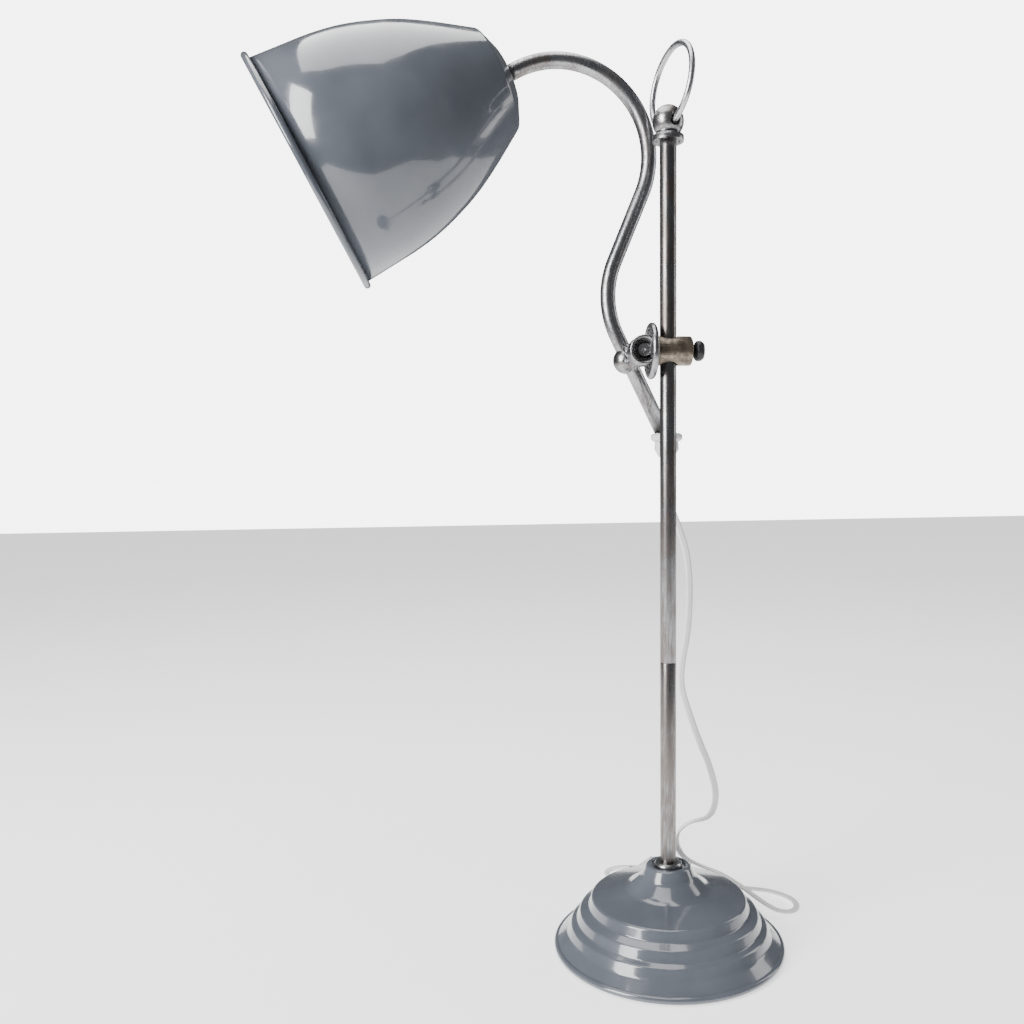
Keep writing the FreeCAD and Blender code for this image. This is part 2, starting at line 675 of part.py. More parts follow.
gland_mid = V(tube_foot.x + 1.2, arm_y, tube_foot.z)
gland_top = gland_mid + up * 3.2
flex_r = s["flex_wide"] / 2
gr = s["gland_r"]
gt = s["gland_thick"]
gland_blank = turned("gland_blank", [
    (flex_r + 0.1, 0), (gr - 1.8, 0), (gr, 1.6), (gr, gt - 1.4), (gr - 2.0, gt), (flex_r + 0.1, gt)],
    FreeCAD.Placement(gland_top - up * get("gland_thick"), FreeCAD.Rotation()))
socket = rod_shape("gland_socket", s["arm_r"] + 0.05, 30, tube_foot - tube_way * 0.02, tube_way)
cut("arm_gland", gland_blank, [socket])
relief_top = gland_top - up * get("gland_thick")
rl = s["relief_long"]
# The relief's bore stops on the lead's end face, so the two meet squarely.
relief_bore = 8.0
turned("strain_relief", [
    (0, relief_bore), (flex_r + 0.1, relief_bore), (flex_r + 0.1, 0), (flex_r + 1.2, 0), (flex_r + 2.0, rl * 0.45), (gr - 6.2, rl * 0.46),
    (gr - 4.0, rl * 0.62), (gr - 2.6, rl * 0.72), (gr - 3.2, rl), (0, rl)],
    FreeCAD.Placement(relief_top - up * get("relief_long"), FreeCAD.Rotation()))

# The flex inside the arm, from the gland to the lampholder.
inner_edges, inner_head, inner_heading = bend_path(tube_foot + tube_way * 0.5, 90 + get("arm_lean"), [
    (get("arm_tail") + get("arm_neck") - 0.5,), (get("waist_bend"), -get("waist_turn")), (get("arm_rise"),),
    (get("arch_bend"), get("arch_turn")), (get("arm_reach") + 20,)])
feature("inner_flex", swept(inner_edges, plain(flex_r)))

# The lead: down behind the rod, over the dome's back and along the table to its hank.
hank_turn = FreeCAD.Rotation(up, -12)
hank_mid = V(20.7, 97.6, 0)
hank_long = 76.0
hank_wide = 21.0
hank_high = 12.4
hank_lift = 0.6
hank_end = hank_mid + hank_turn.multVec(V(hank_long / 2, 0, 0)) + up * (hank_lift + hank_high / 2)
down = relief_top - up * get("relief_long")
lead_route = [
    down + up * relief_bore, down - up * 9, V(8.4, 30.6, 336), V(15.4, 29.8, 318.5), V(21.7, 28.6, 297),
    V(23.2, 27.4, 268), V(21.2, 26.6, 238), V(16.4, 26.2, 214), V(15.6, 26.4, 196), V(21.8, 26.8, 176),
    V(30.0, 27.4, 153), V(40.6, 28.2, 128), V(46.0, 29.2, 104.5), V(40.8, 30.6, 87.0), V(25.5, 32.4, 84.6),
    V(15.4, 35.0, 76.5), V(15.8, 42.0, 63.0), V(20.0, 56.0, 53.0), V(27.5, 66.7, 40.0), V(42.5, 69.0, 31.0),
    V(58.0, 61.0, 27.0), V(72.5, 47.5, 20.5), V(87.0, 35.5, 11.2), V(98.0, 30.5, 5.6), V(111.0, 33.5, 3.0),
    V(119.0, 44.5, 2.8), V(118.5, 58.5, 2.8), V(109.5, 71.0, 2.8), V(96.0, 79.8, 3.8),
    hank_end + hank_turn.multVec(right * 17), hank_end,
]
bends_found = []
lead_edges = rounded(lead_route, None, bends_found)
lead = swept(lead_edges, plain(flex_r))
lead_length = sum(e.Length for e in lead_edges)
print("lead radii", [round(r, 1) for r in bends_found])
print("lead length", round(lead_length, 1), "volume ratio",
      round(lead.Volume / (math.pi * plain(flex_r) ** 2 * lead_length), 5))
feature("flex_lead", lead)

# The hank: the rest of the flex, folded and tied, close behind the base.
hank_box = doc.addObject("Part::Box", "hank_box")
hank_box.Length = hank_long
hank_box.Width = hank_wide
hank_box.Height = hank_high
hank_box.Placement = FreeCAD.Placement(
    hank_mid + hank_turn.multVec(V(-hank_long / 2, -hank_wide / 2, hank_lift)), hank_turn)
hank = doc.addObject("Part::Fillet", "flex_hank")
hank.Label = "flex_hank"
hank.Base = hank_box
doc.recompute()
hank.Edges = [(i, 2.0, 2.0) for i in range(1, 13)]
tie_bands = []
for along in (-34, 25):
    band = doc.addObject("Part::Box", "tie_band")
    band.Length = 4
    band.Width = hank_wide + 2 * hank_lift
    band.Height = hank_high + 2 * hank_lift
    band.Placement = FreeCAD.Placement(
        hank_mid + hank_turn.multVec(V(along, -hank_wide / 2 - hank_lift, 0)), hank_turn)
    tie_bands.append(band)
cut("hank_tie", fuse("tie_pair", tie_bands), [hank])

# Slim two-pin plug lying behind the hank, side against side.
plug_wide = 27.0
plug_high = 13.4
plug_long = 28.0
plug_mid = hank_mid + hank_turn.multVec(V(-26.0, (hank_wide + plug_wide) / 2, 0))
plug_way = hank_turn.multVec(right)
plug_side = hank_turn.multVec(back)


def plug_section(distance, wide, high):
    mid = plug_mid + plug_way * distance + up * (high / 2)
    corners = []
    for a, b in ((-1, -0.5), (-0.8, -1), (0.8, -1), (1, -0.5), (1, 0.5), (0.8, 1), (-0.8, 1), (-1, 0.5)):
        corners.append(mid + plug_side * (a * wide / 2) + up * (b * high / 2))
    return Part.makePolygon(corners + [corners[0]])


feature("plug_body", Part.makeLoft([
    plug_section(0, 12, 8), plug_section(10, plug_wide, plug_high),
    plug_section(plug_long, plug_wide, plug_high)], True, True))
pin_gap = 19.0
pins = [Part.makeCylinder(2.0, 19, plug_mid + plug_way * plug_long + plug_side * (k * pin_gap / 2)
                          + up * (plug_high / 2), plug_way) for k in (-1, 1)]
feature("plug_pins", Part.makeCompound(pins))

# ---------------------------------------------------------------- checks and files

doc.recompute()
names = [
    "base_pad", "base_plate", "base_dome", "base_weight", "tail_washer", "tail_nut", "foot_stud",
    "foot_nut", "rod_lower", "rod_upper", "joint_stud", "finial", "finial_ring", "clamp_sleeve",
    "clamp_block", "thumbscrew", "thumbscrew_knob", "lock_wheel", "knuckle", "arm_fitting", "grub_screw",
    "pivot_screw", "pivot_spacer", "arm_tube", "arm_gland", "strain_relief", "inner_flex",
    "shade_shell", "shade_nipple", "shade_washer",
    "shade_nut", "holder_cap", "holder_skirt", "holder_core", "switch_bar", "centre_contact", "bulb_cap",
    "bulb_glass", "flex_lead", "flex_hank", "hank_tie", "plug_body", "plug_pins",
]
for thing in doc.Objects:
    if "Invalid" in thing.State or "Error" in thing.State:
        raise RuntimeError(thing.Label + " failed: " + str(thing.State))
os.makedirs("parts", exist_ok=True)
for name in names:
    part = [o for o in doc.Objects if o.Label == name][0]
    shape = part.Shape
    if shape.isNull() or not shape.isValid() or not shape.Solids:
        raise RuntimeError(name + " has no valid solid")
    shape.exportStep("parts/" + name + ".step")
    print(name, len(shape.Solids), round(shape.Volume))
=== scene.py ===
import json
import math

import bmesh
import bpy
from mathutils import Matrix, Vector


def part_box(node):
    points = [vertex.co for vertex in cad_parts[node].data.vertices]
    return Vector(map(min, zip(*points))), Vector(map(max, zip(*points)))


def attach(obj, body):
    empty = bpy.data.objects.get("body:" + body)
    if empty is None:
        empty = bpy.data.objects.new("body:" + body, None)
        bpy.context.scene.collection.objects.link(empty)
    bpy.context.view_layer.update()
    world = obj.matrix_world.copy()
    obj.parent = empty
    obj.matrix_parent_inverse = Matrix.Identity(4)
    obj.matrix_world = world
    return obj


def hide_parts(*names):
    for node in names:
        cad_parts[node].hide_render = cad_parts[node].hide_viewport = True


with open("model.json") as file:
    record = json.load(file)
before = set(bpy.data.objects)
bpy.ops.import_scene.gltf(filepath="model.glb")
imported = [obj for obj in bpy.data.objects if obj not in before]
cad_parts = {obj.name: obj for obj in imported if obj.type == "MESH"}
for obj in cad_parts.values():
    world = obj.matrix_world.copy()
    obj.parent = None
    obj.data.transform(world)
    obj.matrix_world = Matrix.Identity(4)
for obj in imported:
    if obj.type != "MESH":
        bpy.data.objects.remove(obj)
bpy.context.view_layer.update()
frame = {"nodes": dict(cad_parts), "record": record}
bodyOf = {n: b for b, nodes in frame["record"]["behaviour"]["bodies"].items() for n in nodes}
up = Vector((0, 0, 1))
mm = 0.001


def boxOf(node):
    low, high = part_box(node)
    return Vector(low), Vector(high)


# shader maths: sums and products of Term objects add the Math nodes

class Term:
    def __init__(self, finish, socket):
        self.finish = finish
        self.socket = socket

    def math(self, operation, other):
        return self.finish.add("ShaderNodeMath", {"operation": operation}, {0: self, 1: other})

    def __add__(self, other):
        return self.math("ADD", other)

    def __mul__(self, other):
        return self.math("MULTIPLY", other)


class Finish:
    def __init__(self, name, **constants):
        self.material = bpy.data.materials.new(name)
        self.material.use_nodes = True
        self.tree = self.material.node_tree
        self.tree.nodes.clear()
        self.shader = self.tree.nodes.new("ShaderNodeBsdfPrincipled")
        out = self.tree.nodes.new("ShaderNodeOutputMaterial")
        self.tree.links.new(self.shader.outputs[0], out.inputs[0])
        self.set(**{key.replace("_", " "): value for key, value in constants.items()})

    def plug(self, socket, value):
        if isinstance(value, Term):
            self.tree.links.new(value.socket, socket)
        elif isinstance(value, (tuple, list)) and len(value) == 3 and socket.type == "RGBA":
            socket.default_value = (*value, 1)
        else:
            socket.default_value = value

    def set(self, **values):
        for key, value in values.items():
            self.plug(self.shader.inputs[key], value)
        return self

    def add(self, kind, settings=None, inputs=None, output=0):
        node = self.tree.nodes.new(kind)
        for key, value in (settings or {}).items():
            if key == "stops":
                ramp = node.color_ramp.elements
                while len(ramp) < len(value):
                    ramp.new(0.5)
                for element, (place, colour) in zip(ramp, value):
                    element.position = place
                    element.color = (*colour, 1) if len(colour) == 3 else colour
            else:
                setattr(node, key, value)
        for key, value in (inputs or {}).items():
            self.plug(node.inputs[key], value)
        return Term(self, node.outputs[output])

    def place(self, scale=(1, 1, 1), turn=(0, 0, 0), shift=(0, 0, 0)):
        where = self.add("ShaderNodeTexCoord", output="Object")
        return self.add("ShaderNodeMapping", None, {
            "Vector": where, "Scale": scale, "Rotation": turn, "Location": shift})

    def noise(self, scale, detail=3, rough=0.5, where=None, stretch=(1, 1, 1)):
        return self.add("ShaderNodeTexNoise", None, {
            "Vector": where or self.place(stretch), "Scale": scale, "Detail": detail, "Roughness": rough})

    def step(self, value, low, high, out=(0, 1)):
        return self.add("ShaderNodeMapRange", {"interpolation_type": "SMOOTHSTEP"}, {
            0: value, 1: low, 2: high, 3: out[0], 4: out[1]})

    def mix(self, factor, a, b):
        return self.add("ShaderNodeMix", {"data_type": "RGBA"}, {0: factor, 6: a, 7: b}, output=2)

    def ramp(self, value, *stops):
        return self.add("ShaderNodeValToRGB", {"stops": stops}, {0: value})

    def bump(self, height, depth, strength=1.0):
        return self.add("ShaderNodeBump", None, {"Height": height, "Distance": depth, "Strength": strength})


# finishes

enamelLook = {"blue": (0.083, 0.091, 0.108), "pale": (0.11, 0.12, 0.14), "grip": (0.02, 0.02, 0.022)}


def enamel(name, chips=None):
    # vitreous enamel: slow colour drift, an uneven glaze, and chips along a rolled rim
    f = Finish(name, Roughness=0.16, Coat_Weight=0.6, Coat_Roughness=0.04, Specular_IOR_Level=0.5)
    drift = f.noise(14, 3, 0.5)
    speck = f.noise(900, 2, 0.6)
    colour = f.mix(f.step(drift, 0.35, 0.68), enamelLook["blue"], enamelLook["pale"])
    colour = f.mix(f.step(speck, 0.66, 0.78) * 0.35, colour, (0.07, 0.085, 0.115))
    rough = f.step(f.noise(60, 4, 0.6), 0.3, 0.75, (0.12, 0.24))
    if chips:
        centre, radius, width = chips
        away = f.add("ShaderNodeVectorMath", {"operation": "DISTANCE"}, {0: f.place(), 1: centre}, "Value")
        rim = f.step(away, radius - width, radius)
        chip = rim * f.step(f.noise(55, 5, 0.75), 0.665, 0.685)
        colour = f.mix(chip, colour, enamelLook["grip"])
        rough = rough + chip * 0.5
    waves = f.noise(38, 2, 0.5) * 0.7 + f.noise(420, 2, 0.5) * 0.05
    f.set(**{"Base Color": colour, "Roughness": rough, "Normal": f.bump(waves, 0.0005, 0.35)})
    return f.material


def agedNickel(name, stretch=(1, 1, 0.12), dark=0.5, tone=1.0):
    # worn plating: brown-grey blotches, long fine streaks, brighter where hands have rubbed
    f = Finish(name, Metallic=1.0)
    blotch = f.noise(95, 6, 0.68, stretch=(1, 1, max(stretch[2], 0.35)))
    streak = f.noise(900, 4, 0.6, stretch=stretch)
    patch = f.noise(26, 3, 0.55)
    wear = f.step(blotch * 0.55 + streak * 0.3 + patch * 0.35, dark, dark + 0.17)
    bright = tuple(c * tone for c in (0.50, 0.50, 0.515))
    dull = tuple(c * tone for c in (0.30, 0.30, 0.31))
    silver = f.mix(streak, bright, dull)
    tarnish = f.mix(patch, (0.115, 0.095, 0.085), (0.20, 0.18, 0.17))
    f.set(**{"Base Color": f.mix(wear, silver, tarnish),
             "Roughness": f.step(blotch * 0.5 + streak * 0.5, 0.3, 0.7, (0.2, 0.42)),
             "Normal": f.bump(streak * 0.5 + blotch, 0.00012, 0.5)})
    return f.material


def bronze(name):
    # brown, unevenly oxidised, with fine turning marks across it
    f = Finish(name, Metallic=0.85)
    patch = f.noise(180, 5, 0.65)
    lines = f.noise(260, 3, 0.6, stretch=(0.5, 6, 6))
    base = f.ramp(patch, (0.3, (0.075, 0.062, 0.052)), (0.5, (0.19, 0.155, 0.12)), (0.72, (0.42, 0.36, 0.27)))
    f.set(**{"Base Color": f.mix(f.step(lines, 0.45, 0.7) * 0.45, base, (0.08, 0.065, 0.055)),
             "Roughness": f.step(patch, 0.3, 0.7, (0.48, 0.32)),
             "Normal": f.bump(lines + patch, 0.0002, 0.6)})
    return f.material


def blackened(name):
    f = Finish(name, Metallic=0.3)
    patch = f.noise(320, 4, 0.6)
    f.set(**{"Base Color": f.mix(patch, (0.006, 0.006, 0.007), (0.03, 0.03, 0.032)),
             "Roughness": f.step(patch, 0.3, 0.7, (0.28, 0.5)), "Normal": f.bump(patch, 0.0001, 0.4)})
    return f.material


def plated(name, colour=(0.55, 0.56, 0.58)):
    # zinc-plated small parts, slightly frosted
    f = Finish(name, Metallic=1.0)
    frost = f.noise(600, 5, 0.7)
    f.set(**{"Base Color": f.mix(frost, colour, tuple(c * 0.62 for c in colour)),
             "Roughness": f.step(frost, 0.3, 0.7, (0.25, 0.48)), "Normal": f.bump(frost, 0.00006, 0.4)})
    return f.material


def moulded(name, colour, grain=500, rough=(0.34, 0.5), sheen=0.5):
    # moulded plastic with a light spark-eroded grain
    f = Finish(name, Specular_IOR_Level=sheen)
    tone = f.noise(grain, 3, 0.55)
    drift = f.noise(30, 2, 0.5)
    f.set(**{"Base Color": f.mix(drift, colour, tuple(c * 0.9 for c in colour)),
             "Roughness": f.step(tone, 0.3, 0.7, rough), "Normal": f.bump(tone, 0.00008, 0.35)})
    return f.material


def sheath(name):
    # soft white flex: slightly chalky, scuffed along its length
    f = Finish(name, Specular_IOR_Level=0.35)
    scuff = f.noise(140, 5, 0.7)
    f.set(**{"Base Color": f.mix(f.step(scuff, 0.5, 0.75) * 0.35, (0.78, 0.78, 0.77), (0.6, 0.59, 0.57)),
             "Roughness": f.step(scuff, 0.3, 0.7, (0.42, 0.6)), "Normal": f.bump(scuff, 0.00015, 0.3)})
    return f.material


def felted(name):
    f = Finish(name, Roughness=0.95, Specular_IOR_Level=0.2)
    fibre = f.noise(1500, 6, 0.75)
    f.set(**{"Base Color": f.mix(fibre, (0.02, 0.022, 0.02), (0.07, 0.075, 0.07)),
             "Normal": f.bump(fibre, 0.0006, 0.8)})
    return f.material


def casting(name):
    f = Finish(name, Metallic=0.6)
    sand = f.noise(420, 6, 0.7)
    f.set(**{"Base Color": f.mix(sand, (0.03, 0.03, 0.032), (0.1, 0.09, 0.085)),
             "Roughness": f.step(sand, 0.3, 0.7, (0.6, 0.85)), "Normal": f.bump(sand, 0.0008, 0.8)})
    return f.material


def porcelain(name):
    f = Finish(name, Roughness=0.15, Coat_Weight=0.5)
    cloud = f.noise(70, 3, 0.5)
    f.set(**{"Base Color": f.mix(cloud, (0.72, 0.7, 0.64), (0.62, 0.6, 0.54)),
             "Normal": f.bump(cloud, 0.0002, 0.3)})
    return f.material


def frosted(name):
    # etched bulb glass, a little clearer in patches
    f = Finish(name, IOR=1.45, Transmission_Weight=0.35, Subsurface_Weight=0.0)
    cloud = f.noise(90, 3, 0.5)
    f.set(**{"Base Color": f.mix(cloud, (0.93, 0.93, 0.9), (0.86, 0.86, 0.83)),
             "Roughness": f.step(cloud, 0.3, 0.7, (0.22, 0.36)), "Normal": f.bump(cloud, 0.0001, 0.2)})
    return f.material


print("finishes")
looks = {
    "domeEnamel": enamel("domeEnamel", ((0, 0, 0), 0.0885, 0.004)),
    "shadeEnamel": enamel("shadeEnamel"),
    # painted shade: the rod's copy of the nickel is darkened to tone 0.6, below the arm's 0.8, so that its
    # reflections read darker
    "rodShadedNickel": agedNickel("rodShadedNickel", (1, 1, 0.06), 0.5, 0.6),
    "armMetal": agedNickel("armMetal", (1, 1, 0.3), 0.57, 0.8),
    "castMetal": agedNickel("castMetal", (1, 1, 1), 0.55, 0.8),
    "ringMetal": agedNickel("ringMetal", (1, 1, 0.5), 0.62, 1.25),
    "bronze": bronze("blockBronze"),
    "black": blackened("blackKnob"),
    "plated": plated("zincPlate"),
    "white": moulded("whiteMoulding", (0.74, 0.74, 0.73)),
    "dark": moulded("darkMoulding", (0.018, 0.016, 0.015), 700, (0.25, 0.42)),
    "sheath": sheath("flexSheath"),
    "felt": felted("padFelt"),
    "iron": casting("weightIron"),
    "porcelain": porcelain("holderPorcelain"),
    "brass": plated("contactBrass", (0.62, 0.47, 0.2)),
    "glass": frosted("bulbGlass"),
    "rolled": plated("bulbCapMetal", (0.72, 0.72, 0.73)),
    "inside": moulded("shadeInside", (0.8, 0.8, 0.78), 300, (0.15, 0.25)),
}


# helpers for the shapes

def finished(name, bm, finish, nodes, sharp=32, place=None, inner=None):
    # closes a piece: smooth normals, its finish, its body and the CAD nodes that it stands for
    if place is not None:
        bm.transform(place)
    mesh = bpy.data.meshes.new(name)
    bm.to_mesh(mesh)
    bm.free()
    piece = bpy.data.objects.new(name, mesh)
    bpy.context.scene.collection.objects.link(piece)
    mesh.shade_smooth()
    mesh.set_sharp_from_angle(angle=math.radians(sharp))
    mesh.materials.append(looks[finish])
    if inner:
        mesh.materials.append(looks[inner])
    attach(piece, bodyOf[nodes[0]])
    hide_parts(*nodes)
    return piece


def outline(bm, corners, closed):
    # a wire from (radius, height, tangent, segments) corners in millimetres
    # the tangent is how far from the corner its arc begins
    verts = [bm.verts.new((c[0] * mm, 0, c[1] * mm)) for c in corners]
    for a, b in zip(verts, verts[1:]):
        bm.edges.new((a, b))
    if closed:
        bm.edges.new((verts[-1], verts[0]))
    for vert, corner in zip(verts, corners):
        if len(corner) > 2:
            bmesh.ops.bevel(bm, geom=[vert], offset=corner[2] * mm, offset_type="OFFSET", segments=corner[3],
                            profile=0.5, affect="VERTICES", material=-1)


def lathe(corners, steps=96, closed=True):
    bm = bmesh.new()
    outline(bm, corners, closed)
    bmesh.ops.spin(bm, geom=bm.verts[:] + bm.edges[:], cent=(0, 0, 0), axis=(0, 0, 1), dvec=(0, 0, 0),
                   angle=2 * math.pi, steps=steps, use_merge=True, use_duplicate=False)
    bmesh.ops.remove_doubles(bm, verts=bm.verts[:], dist=1e-6)
    bmesh.ops.recalc_face_normals(bm, faces=bm.faces[:])
    return bm


def donut(bm, ringRadius, wireRadius, height, steps=128, sides=24):
    # a full ring of round wire about Z
    made = bmesh.ops.create_circle(bm, segments=sides, radius=wireRadius * mm, matrix=Matrix.Translation(
        (ringRadius * mm, 0, height * mm)) @ Matrix.Rotation(math.pi / 2, 4, "X"))
    edges = list({e for v in made["verts"] for e in v.link_edges})
    bmesh.ops.spin(bm, geom=made["verts"] + edges, cent=(0, 0, 0), axis=(0, 0, 1), dvec=(0, 0, 0),
                   angle=2 * math.pi, steps=steps, use_merge=True, use_duplicate=False)
    bmesh.ops.remove_doubles(bm, verts=bm.verts[:], dist=1e-6)
    bmesh.ops.recalc_face_normals(bm, faces=bm.faces[:])


def aimed(origin, direction):
    return Matrix.Translation(origin) @ Vector(direction).to_track_quat("Z", "Y").to_matrix().to_4x4()


def thickened(piece, thickness):
    # a sheet's wall, laid on its inner side
    wall = piece.modifiers.new("wall", "SOLIDIFY")
    wall.thickness = thickness * mm
    wall.offset = -1
    wall.use_even_offset = True
    return wall


def copied(node, finish, sharp=30):
    # a CAD shape kept as it is, with its triangles joined and its curves shaded smooth
    bm = bmesh.new()
    bm.from_mesh(frame["nodes"][node].data)
    bmesh.ops.remove_doubles(bm, verts=bm.verts[:], dist=1e-6)
    return finished(node.title().replace("_", ""), bm, finish, [node], sharp=sharp)


# base

print("base")
dome = {"hub": 62.2, "rim": 85.4, "bead": 2.6}
hub = dome["hub"]
domeSkin = [
    (4.4, hub), (12.6, hub, 0.5, 4), (13.4, hub + 2.4, 0.8, 5), (16.6, hub + 2.0, 1.5, 8),
    (20.6, hub - 6.5, 1.8, 10), (31.0, hub - 16.0, 3.6, 12), (58.8, hub - 23.0, 1.4, 8),
    (61.0, hub - 30.8, 0.9, 6), (67.8, hub - 33.6, 1.1, 8), (70.2, hub - 40.8, 0.8, 6),
    (74.6, hub - 43.0, 1.1, 8), (77.4, hub - 50.0, 1.4, 8), (86.0, 4.6), (85.0, 3.6),
    (76.4, 11.6, 1.2, 6), (73.4, hub - 44.0, 0.8, 4), (69.2, hub - 42.0, 0.8, 4),
    (66.8, hub - 34.8, 0.8, 4), (60.0, hub - 32.0, 0.8, 4), (57.8, hub - 24.2, 1.0, 4),
    (30.2, hub - 17.2, 3.2, 8), (19.4, hub - 7.4, 1.6, 8), (15.8, hub + 0.8, 1.0, 6),
    (14.2, hub + 1.1, 0.4, 4), (13.5, hub - 1.2, 0.3, 4), (4.4, hub - 1.2)]
bm = lathe(domeSkin, 160)
donut(bm, dome["rim"], dome["bead"], 3.0, 160)
finished("BaseDome", bm, "domeEnamel", ["base_dome"], sharp=60)
footNut = [(4, hub), (10.6, hub, 0.3, 2), (10.6, hub + 2.9, 0.8, 4), (9.3, hub + 4.5, 0.4, 4), (4, hub + 4.5)]
bm = lathe(footNut, 64)
finished("FootNut", bm, "castMetal", ["foot_nut"])

# rod and finial

print("rod")
rod = {"radius": 6.0, "bore": 4.0, "foot": 66.7, "seam": 221.0, "top": 599.0}
r = rod["radius"]
for name, node, low, high, ease in (("RodLower", "rod_lower", rod["foot"], rod["seam"], (0.2, 0.5)),
                                    ("RodUpper", "rod_upper", rod["seam"], rod["top"], (0.5, 0.2))):
    bm = lathe([(rod["bore"], low), (r, low, ease[0], 3), (r, high, ease[1], 3), (rod["bore"], high)], 64)
    finished(name, bm, "rodShadedNickel", [node])
copied("finial", "castMetal", 35)
ring = {"turn": -72.7, "lean": 6.0, "mean": 27.6, "wire": 2.2, "eye": 606.3, "rise": 26.41}
lean = math.radians(ring["lean"])
eyeTurn = math.radians(ring["turn"])
eyeAlong = Vector((math.cos(eyeTurn), math.sin(eyeTurn), 0))
ringAcross = eyeAlong.cross(up)
ringNormal = (Matrix.Rotation(-lean, 3, eyeAlong) @ ringAcross).normalized()
ringUp = (Matrix.Rotation(-lean, 3, eyeAlong) @ up).normalized()
bm = bmesh.new()
donut(bm, ring["mean"], ring["wire"], 0, 160, 28)
finished("FinialRing", bm, "ringMetal", ["finial_ring"],
         place=aimed(Vector((0, 0, ring["eye"] * mm)) + ringUp * (ring["rise"] * mm), ringNormal))

# clamp

print("clamp")
clamp = {"height": 449.4, "wheelMid": 17.6, "wheelWire": 2.5, "wheelPlace": -12.3}
alongX = aimed((0, 0, clamp["height"] * mm), (1, 0, 0))
copied("clamp_block", "bronze", 30)
copied("knuckle", "castMetal", 30)
copied("arm_fitting", "castMetal", 30)
copied("grub_screw", "plated", 30)
copied("pivot_screw", "castMetal", 30)
bm = lathe([(0, 18.3), (3.6, 18.3, 0.5, 3), (6.9, 20.2, 0.8, 4), (7.3, 21.3, 0.5, 4), (7.3, 23.8, 0.7, 4),
            (6.2, 25.4, 0.6, 4), (5.6, 26.0, 0.4, 3), (0, 26.0)], 72, closed=False)
finished("ThumbKnob", bm, "black", ["thumbscrew_knob"], place=alongX, sharp=40)
bm = lathe([(0, 7.4), (2.4, 7.4, 0.3, 2), (2.4, 19.0), (0, 19.0)], 40, closed=False)
finished("ThumbScrew", bm, "black", ["thumbscrew"], place=alongX)
wheel = [(4.1, -9.7), (8.0, -9.7, 0.3, 3), (8.0, -10.3, 0.3, 3), (14.8, -10.3, 0.6, 4), (16.6, -11.4),
         (15.6, -13.1), (13.4, -11.7, 0.6, 4), (4.1, -11.7)]
bm = lathe(wheel, 96)
donut(bm, clamp["wheelMid"], clamp["wheelWire"], clamp["wheelPlace"], 128)
finished("LockWheel", bm, "castMetal", ["lock_wheel"], place=alongX, sharp=45)

# arm

print("arm")
arm = {"behind": 31.0, "lean": 25.8, "tail": 64.8, "neck": 19.5, "waist": (66.0, -48.8), "rise": 52.9,
       "arch": (66.4, 140.1), "reach": 7.4, "radius": 5.75, "wall": 1.15, "pivot": (-18.75, 449.4),
       "link": 5.8}


def heading(degrees):
    return Vector((math.cos(math.radians(degrees)), 0, math.sin(math.radians(degrees))))


pivot = Vector((arm["pivot"][0], arm["behind"], arm["pivot"][1])) * mm
crossing = pivot + heading(180 + arm["lean"]) * arm["link"] * mm
armFoot = crossing - heading(90 + arm["lean"]) * arm["tail"] * mm


def bentTube(bm, start, degrees, moves, radius, sides=48):
    # a round section drawn out along runs and turned round each bend's centre
    made = bmesh.ops.create_circle(bm, segments=sides, radius=radius * mm,
                                   matrix=aimed(start, heading(degrees)))
    edges = list({e for v in made["verts"] for e in v.link_edges})
    here = start
    for move in moves:
        if isinstance(move, tuple):
            bend, turn = move
            side = math.copysign(90, turn)
            centre = here + heading(degrees + side) * bend * mm
            steps = max(4, int(abs(turn) / 2.5))
            spun = bmesh.ops.spin(bm, geom=edges, cent=centre, axis=(0, -1, 0), dvec=(0, 0, 0),
                                  angle=math.radians(turn), steps=steps, use_merge=False, use_duplicate=False)
            edges = [g for g in spun["geom_last"] if isinstance(g, bmesh.types.BMEdge)]
            here = centre - heading(degrees + side + turn) * bend * mm
            degrees += turn
        else:
            drawn = bmesh.ops.extrude_edge_only(bm, edges=edges)
            fresh = [g for g in drawn["geom"] if isinstance(g, bmesh.types.BMVert)]
            bmesh.ops.translate(bm, verts=fresh, vec=heading(degrees) * move * mm)
            edges = [g for g in drawn["geom"] if isinstance(g, bmesh.types.BMEdge)
                     and all(v in set(fresh) for v in g.verts)]
            here = here + heading(degrees) * move * mm
    return here, degrees


moves = [arm["tail"] + arm["neck"], arm["waist"], arm["rise"], arm["arch"], arm["reach"]]
bm = bmesh.new()
armHead, headTurn = bentTube(bm, armFoot, 90 + arm["lean"], moves, arm["radius"])
bmesh.ops.recalc_face_normals(bm, faces=bm.faces[:])
tube = finished("ArmTube", bm, "armMetal", ["arm_tube"])
thickened(tube, arm["wall"])

# shade

print("shade")
shadeWay = heading(headTurn + 180)
shade = {"long": 162.2, "skirt": 81.1, "bead": 2.5, "beadMid": 83.0, "beadLevel": 1.2, "wall": 1.0}
long = shade["long"]
shadePlace = aimed(armHead - shadeWay * long * mm, shadeWay)
sr = shade["skirt"]
shadeSkin = [
    (4.7, long), (18.5, long - 0.8, 4.1, 8), (35.8, long - 9.2, 1.4, 8), (sr - 28.2, long - 38.2, 10.8, 10),
    (sr - 17.4, long - 59.8, 10.8, 10), (sr - 7.7, long - 89.3, 10.4, 10), (sr - 3.5, long - 112.2, 10.4, 10),
    (sr, shade["beadLevel"])]
bm = lathe(shadeSkin, 192, closed=False)
for face in bm.faces:
    face.normal_update()
middle = Vector((0, 0, long * 0.4 * mm))
if sum((f.calc_center_median() - middle).dot(f.normal) for f in bm.faces) < 0:
    bmesh.ops.reverse_faces(bm, faces=bm.faces[:])
shell = finished("ShadeShell", bm, "shadeEnamel", ["shade_shell"], place=shadePlace, inner="inside")
wall = thickened(shell, shade["wall"])
wall.material_offset = 1
wall.material_offset_rim = 0
bm = bmesh.new()
